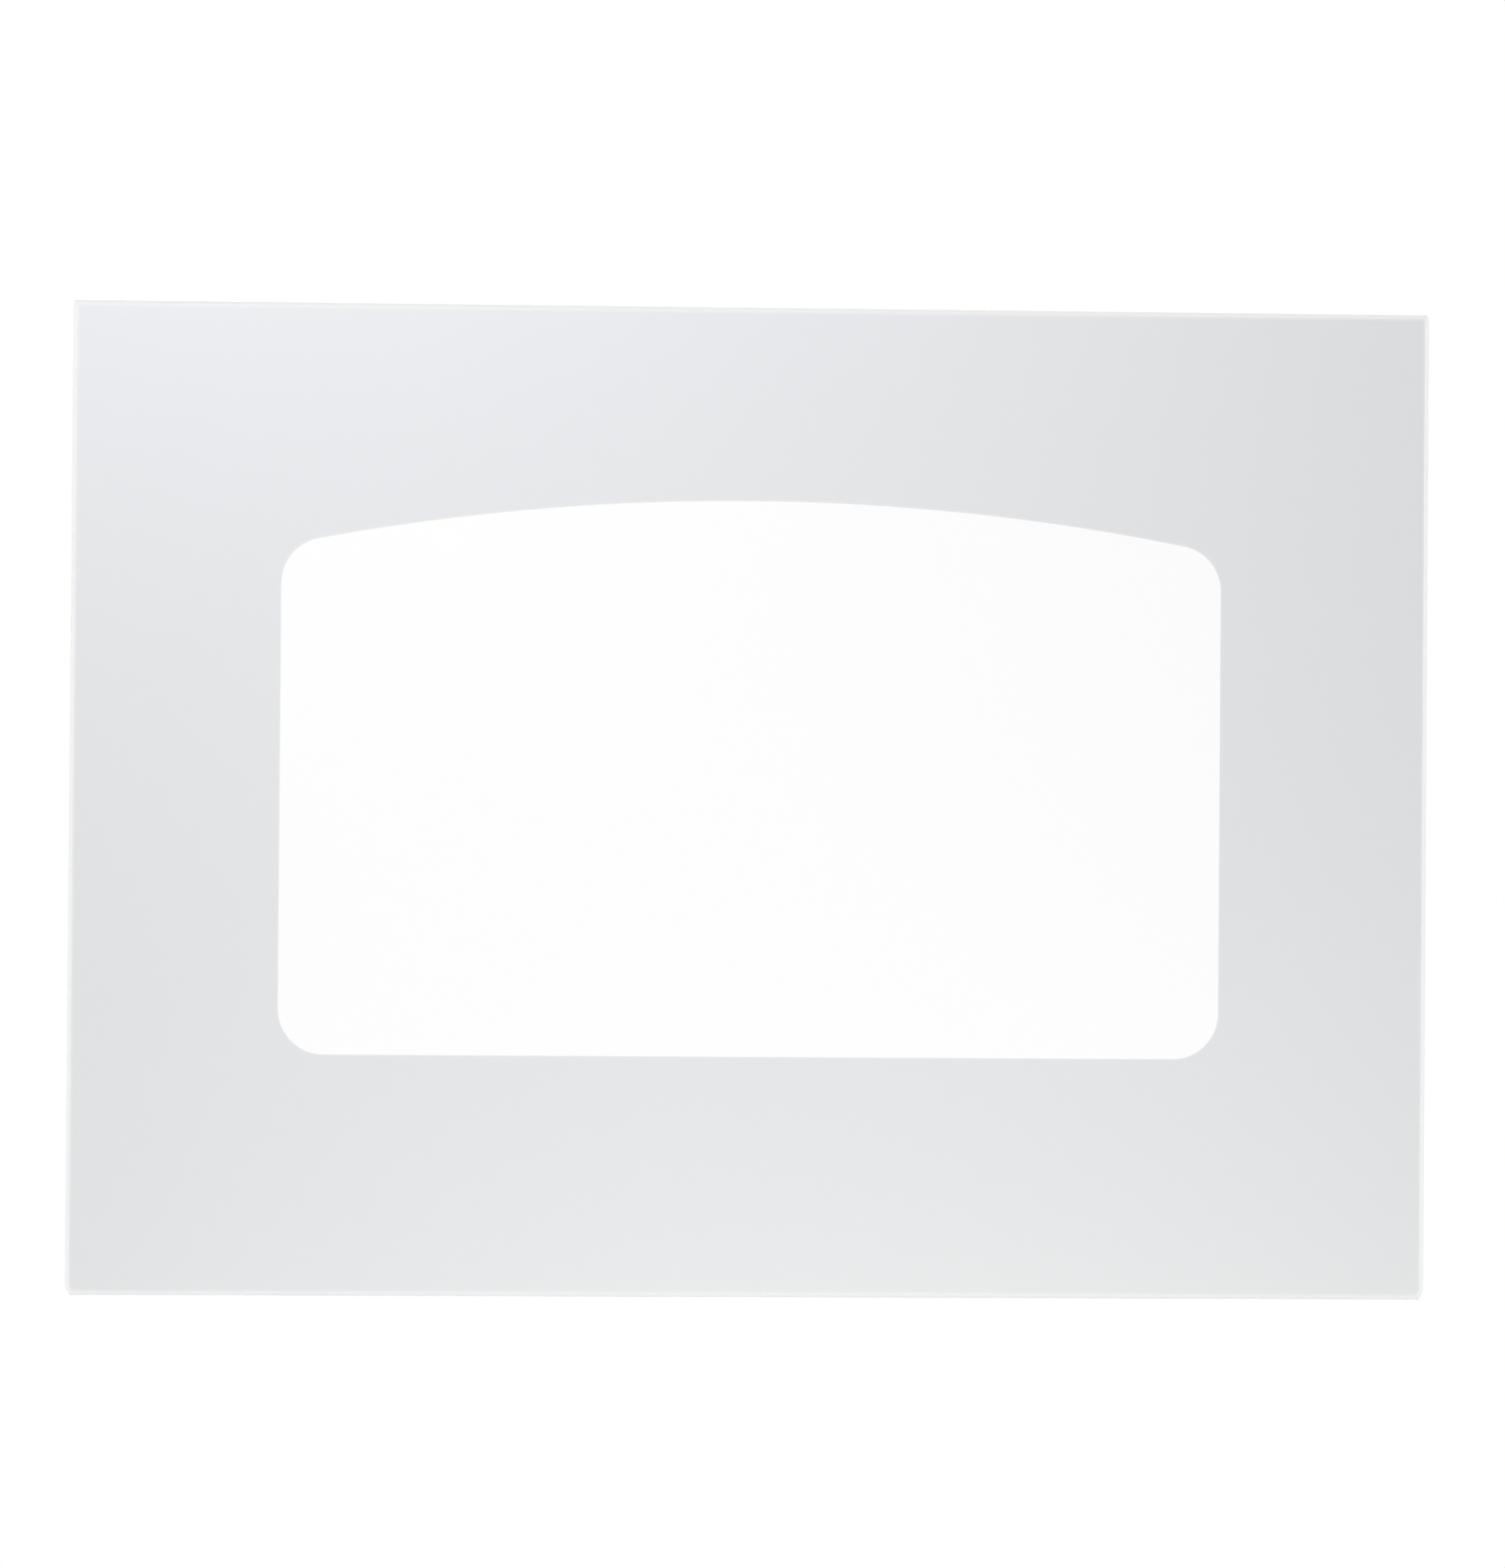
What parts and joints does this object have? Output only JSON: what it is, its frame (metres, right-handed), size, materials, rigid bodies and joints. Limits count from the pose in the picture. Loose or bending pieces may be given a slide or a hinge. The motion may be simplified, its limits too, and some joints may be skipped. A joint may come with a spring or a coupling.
{
  "type": "oven door outer glass panel",
  "caption": "Flat rectangular toughened-glass oven door outer panel with a white enamel border around a clear arch-topped window.",
  "frame": {"origin": "on the lowest face, the enamel's back, under the middle of the pane", "axes": "+X along the width, to the right when the front is seen; +Y to the top edge of the door; +Z out of the front face"},
  "size_m": [0.7494, 0.5462, 0.0041],
  "materials": {
    "clear_glass": "flat toughened soda-lime float glass, polished faces, fine-ground rounded edges",
    "white_enamel": "white ceramic enamel, screen printed and fired on the back of the glass"
  },
  "bodies": {
    "root": {"glass_pane": "clear_glass", "enamel_border": "white_enamel"}
  },
  "joints": []
}
